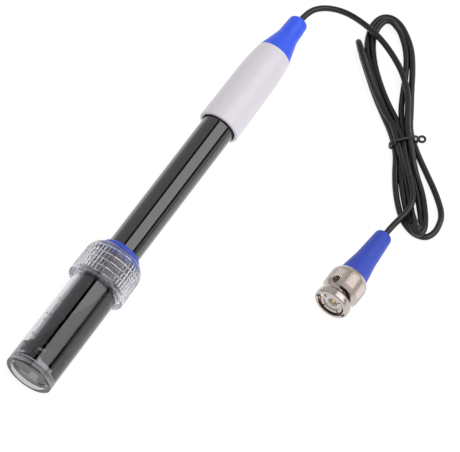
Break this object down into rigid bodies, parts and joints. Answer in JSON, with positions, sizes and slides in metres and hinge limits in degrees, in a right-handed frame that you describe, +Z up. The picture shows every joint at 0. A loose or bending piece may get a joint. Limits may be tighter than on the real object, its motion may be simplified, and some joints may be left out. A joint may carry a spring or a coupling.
{
  "type": "redox electrode",
  "caption": "Redox electrode with a slim round body lying in its clear storage bottle, a ribbed screw collar, a tapering grip cap, and a hank of thin cable ending in a bayonet plug.",
  "frame": {"origin": "middle of the electrode's footprint on the table it lies on, without its cable", "axes": "+Y from the bottle's foot to the cable end along the electrode, +X towards the cable's plug, +Z up"},
  "size_m": [0.0937, 0.1899, 0.0216],
  "materials": {
    "black_body": "gloss",
    "clear_glass": "clear",
    "platinum": "satin",
    "dark_resin": "matt",
    "white_ceramic": "matt",
    "silver": "satin",
    "electrolyte_gel": "clear",
    "pale_grey_cap": "satin",
    "royal_blue_rubber": "satin",
    "black_cable": "satin",
    "brass_rings": "satin",
    "white_insulation": "satin",
    "heat_shrink": "satin",
    "clear_plastic": "clear",
    "storage_liquid": "clear",
    "clear_collar": "clear",
    "seal_blue_rubber": "satin",
    "tie_wire": "satin",
    "plug_blue_rubber": "satin",
    "nickel": "polished",
    "gold_pin": "polished",
    "grey_gasket": "matt",
    "spring_steel": "satin"
  },
  "bodies": {
    "electrode": {"electrode_body": "black_body", "glass_stem": "clear_glass", "platinum_tip": "platinum", "platinum_lead": "platinum", "front_plug": "dark_resin", "reference_junction": "white_ceramic", "reference_wire": "silver", "reference_gel": "electrolyte_gel", "rear_plug": "dark_resin", "cap": "pale_grey_cap", "cap_sleeve": "royal_blue_rubber", "cable_entry": "black_cable", "cable_grip": "brass_rings", "cable_core": "white_insulation", "core_joint": "heat_shrink", "cable_screen": "silver", "screen_joint": "heat_shrink", "cable_lead": "black_cable", "cable_hank": "black_cable", "cable_tie": "tie_wire", "cable_tail": "black_cable", "plug_sleeve": "plug_blue_rubber", "plug_cable": "black_cable", "plug_core": "white_insulation", "crimp_ferrule": "nickel", "plug_body": "nickel", "contact_insulator": "white_insulation", "centre_pin": "gold_pin", "contact_gasket": "grey_gasket", "wave_spring": "spring_steel", "snap_ring": "spring_steel"},
    "bottle": {"storage_bottle": "clear_plastic", "storage_solution": "storage_liquid"},
    "seal": {"shaft_seal": "seal_blue_rubber"},
    "collar": {"bottle_collar": "clear_collar"},
    "washer": {"thrust_washer": "brass_rings"},
    "nut": {"coupling_nut": "nickel"}
  },
  "joints": [
    {"name": "bottle_pull_off", "type": "slide", "parent": "electrode", "child": "bottle", "axis": [0, -0.9993, 0.0364], "range_m": [0, 0.06]},
    {"name": "collar_lift", "type": "slide", "parent": "bottle", "child": "seal", "axis": [0, 0.9993, -0.0364], "range_m": [0, 0.00625]},
    {"name": "collar_turn", "type": "hinge", "parent": "seal", "child": "collar", "pos_m": [0, -0.03748, 0.01067], "axis": [0, 0.9993, -0.0364], "range_deg": [0, 900]},
    {"name": "nut_float", "type": "slide", "parent": "electrode", "child": "washer", "axis": [0, -0.988, 0.1547], "range_m": [0, 0.0006], "stiffness_N_per_m": 2000, "deforming": ["wave_spring"]},
    {"name": "nut_turn", "type": "hinge", "parent": "washer", "child": "nut", "pos_m": [0.0683, 0.00185, 0.00712], "axis": [0, 0.988, -0.1547], "continuous": true}
  ],
  "couplings": [
    {"joint": "collar_lift", "follows": "collar_turn", "m_per_rad": 0.00039788}
  ]
}
